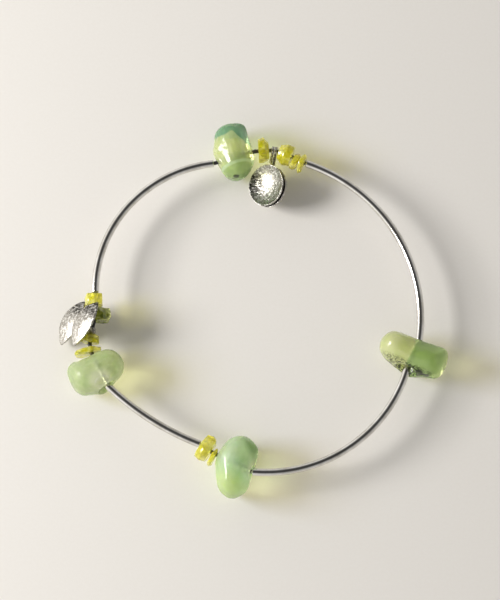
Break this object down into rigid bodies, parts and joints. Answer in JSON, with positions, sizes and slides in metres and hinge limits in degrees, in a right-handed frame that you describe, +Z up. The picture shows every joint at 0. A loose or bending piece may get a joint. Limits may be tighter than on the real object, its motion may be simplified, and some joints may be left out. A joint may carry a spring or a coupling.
{
  "type": "bangle bracelet",
  "caption": "Slip-on bangle bracelet: curved silver tubes, tumbled green stones, small glassy chips and paired cupped discs strung on an elastic cord.",
  "frame": {"origin": "on the table under the middle of the bracelet's outline, lying flat", "axes": "+Z up out of the table, along the way a hand goes through; +Y towards the pair of flat-lying discs; -X towards the pair of narrow discs"},
  "size_m": [0.0782, 0.0774, 0.0097],
  "materials": {
    "tube_silver": "polished silver tube",
    "disc_silver": "silver with a fine scratched and hammered surface",
    "cord": "smooth dark elastic",
    "stone_right": "tumbled translucent stone, pale half and deeper green half, dark inclusions",
    "stone_bottom": "tumbled translucent pale green stone",
    "stone_left": "tumbled milky pale green stone",
    "stone_top": "tumbled translucent green stone with a blue-green cap",
    "chip_yellow": "rough-cut glassy yellow-green chip",
    "chip_olive": "rough-cut glassy olive chip"
  },
  "bodies": {
    "cord": {"cord_right": "cord", "cord_bottom": "cord", "cord_left": "cord", "cord_top": "cord", "cord_knot": "cord"},
    "tube_right_body": {"tube_right": "tube_silver", "cord_in_tube_right": "cord"},
    "tube_lower_right_body": {"tube_lower_right": "tube_silver", "cord_in_tube_lower_right": "cord"},
    "tube_lower_left_body": {"tube_lower_left": "tube_silver", "cord_in_tube_lower_left": "cord"},
    "tube_left_body": {"tube_left": "tube_silver", "cord_in_tube_left": "cord"},
    "nugget_right_body": {"nugget_right": "stone_right"},
    "nugget_bottom_body": {"nugget_bottom": "stone_bottom"},
    "nugget_left_body": {"nugget_left": "stone_left"},
    "nugget_top_body": {"nugget_top": "stone_top"},
    "chip_bottom_1_body": {"chip_bottom_1": "chip_yellow"},
    "chip_bottom_2_body": {"chip_bottom_2": "chip_yellow"},
    "chip_left_1_body": {"chip_left_1": "chip_yellow"},
    "chip_left_2_body": {"chip_left_2": "chip_yellow"},
    "chip_left_3_body": {"chip_left_3": "chip_olive"},
    "chip_left_4_body": {"chip_left_4": "chip_yellow"},
    "chip_top_1_body": {"chip_top_1": "chip_yellow"},
    "chip_top_2_body": {"chip_top_2": "chip_yellow"},
    "chip_top_3_body": {"chip_top_3": "chip_yellow"},
    "chip_top_4_body": {"chip_top_4": "chip_yellow"},
    "charm_top_back": {"disc_top_back": "disc_silver", "bail_top_back": "disc_silver"},
    "charm_top_front": {"disc_top_front": "disc_silver", "bail_top_front": "disc_silver"},
    "charm_left_back": {"disc_left_back": "disc_silver", "bail_left_back": "disc_silver"},
    "charm_left_front": {"disc_left_front": "disc_silver", "bail_left_front": "disc_silver"}
  },
  "joints": [
    {"name": "tube_right_rock", "type": "hinge", "parent": "cord", "child": "tube_right_body", "pos_m": [0.01085, 0.0301, 0.0053], "axis": [0.5142, -0.8577, 0], "range_deg": [-15, 15]},
    {"name": "tube_lower_right_rock", "type": "hinge", "parent": "cord", "child": "tube_lower_right_body", "pos_m": [0.03095, -0.0118, 0.0053], "axis": [-0.8189, -0.574, 0], "range_deg": [-15, 15]},
    {"name": "tube_lower_left_rock", "type": "hinge", "parent": "cord", "child": "tube_lower_left_body", "pos_m": [-0.01035, -0.0281, 0.0053], "axis": [-0.8403, 0.5421, 0], "range_deg": [-15, 15]},
    {"name": "tube_left_rock", "type": "hinge", "parent": "cord", "child": "tube_left_body", "pos_m": [-0.03155, 0.0029, 0.0053], "axis": [0.6554, 0.7553, 0], "range_deg": [-15, 15]},
    {"name": "nugget_right_turn", "type": "hinge", "parent": "cord", "child": "nugget_right_body", "pos_m": [0.03315, -0.0071, 0.0053], "axis": [-0.4239, -0.9057, 0], "continuous": true},
    {"name": "nugget_bottom_turn", "type": "hinge", "parent": "cord", "child": "nugget_bottom_body", "pos_m": [-0.00015, -0.0336, 0.0053], "axis": [-0.897, 0.442, 0], "continuous": true},
    {"name": "nugget_left_turn", "type": "hinge", "parent": "cord", "child": "nugget_left_body", "pos_m": [-0.02895, -0.0161, 0.0053], "axis": [-0.4356, 0.9002, 0], "continuous": true},
    {"name": "nugget_top_turn", "type": "hinge", "parent": "cord", "child": "nugget_top_body", "pos_m": [-0.00795, 0.0301, 0.0053], "axis": [0.9563, 0.2925, 0], "range_deg": [-80, 140]},
    {"name": "chip_bottom_1_turn", "type": "hinge", "parent": "cord", "child": "chip_bottom_1_body", "pos_m": [-0.00705, -0.0302, 0.0053], "axis": [-0.8836, 0.4683, 0], "continuous": true},
    {"name": "chip_bottom_2_turn", "type": "hinge", "parent": "cord", "child": "chip_bottom_2_body", "pos_m": [-0.00805, -0.02967, 0.0053], "axis": [-0.8259, 0.5638, 0], "continuous": true},
    {"name": "chip_left_1_turn", "type": "hinge", "parent": "cord", "child": "chip_left_1_body", "pos_m": [-0.03195, -0.0099, 0.0053], "axis": [-0.2652, 0.9642, 0], "continuous": true},
    {"name": "chip_left_2_turn", "type": "hinge", "parent": "cord", "child": "chip_left_2_body", "pos_m": [-0.0325, -0.0079, 0.0053], "axis": [0.1129, 0.9936, 0], "continuous": true},
    {"name": "chip_left_3_turn", "type": "hinge", "parent": "cord", "child": "chip_left_3_body", "pos_m": [-0.03175, -0.0032, 0.0053], "axis": [0.0644, 0.9979, 0], "range_deg": [-45, 45]},
    {"name": "chip_left_4_turn", "type": "hinge", "parent": "cord", "child": "chip_left_4_body", "pos_m": [-0.03155, -0.0001, 0.0053], "axis": [0, 1, 0], "continuous": true},
    {"name": "chip_top_1_turn", "type": "hinge", "parent": "cord", "child": "chip_top_1_body", "pos_m": [0.00055, 0.0327, 0.0053], "axis": [0.9981, 0.0614, 0], "continuous": true},
    {"name": "chip_top_2_turn", "type": "hinge", "parent": "cord", "child": "chip_top_2_body", "pos_m": [0.00505, 0.03268, 0.0053], "axis": [0.9285, -0.3714, 0], "continuous": true},
    {"name": "chip_top_3_turn", "type": "hinge", "parent": "cord", "child": "chip_top_3_body", "pos_m": [0.00825, 0.0314, 0.0053], "axis": [0.8805, -0.4741, 0], "continuous": true},
    {"name": "chip_top_4_turn", "type": "hinge", "parent": "cord", "child": "chip_top_4_body", "pos_m": [0.00955, 0.0307, 0.0053], "axis": [0.908, -0.4191, 0], "continuous": true},
    {"name": "charm_top_back_swing", "type": "hinge", "parent": "cord", "child": "charm_top_back", "pos_m": [0.0038, 0.0329, 0.0053], "axis": [0.9849, -0.1733, 0], "range_deg": [-130, 8]},
    {"name": "charm_top_front_swing", "type": "hinge", "parent": "charm_top_back", "child": "charm_top_front", "pos_m": [0.0038, 0.0329, 0.0053], "axis": [0.9849, -0.1733, 0], "range_deg": [-60, 0]},
    {"name": "charm_left_back_swing", "type": "hinge", "parent": "cord", "child": "charm_left_back", "pos_m": [-0.03225, -0.0057, 0.0053], "axis": [0.1961, 0.9806, 0], "range_deg": [-5, 55]},
    {"name": "charm_left_front_swing", "type": "hinge", "parent": "charm_left_back", "child": "charm_left_front", "pos_m": [-0.03225, -0.0057, 0.0053], "axis": [0.1961, 0.9806, 0], "range_deg": [0, 25]}
  ]
}
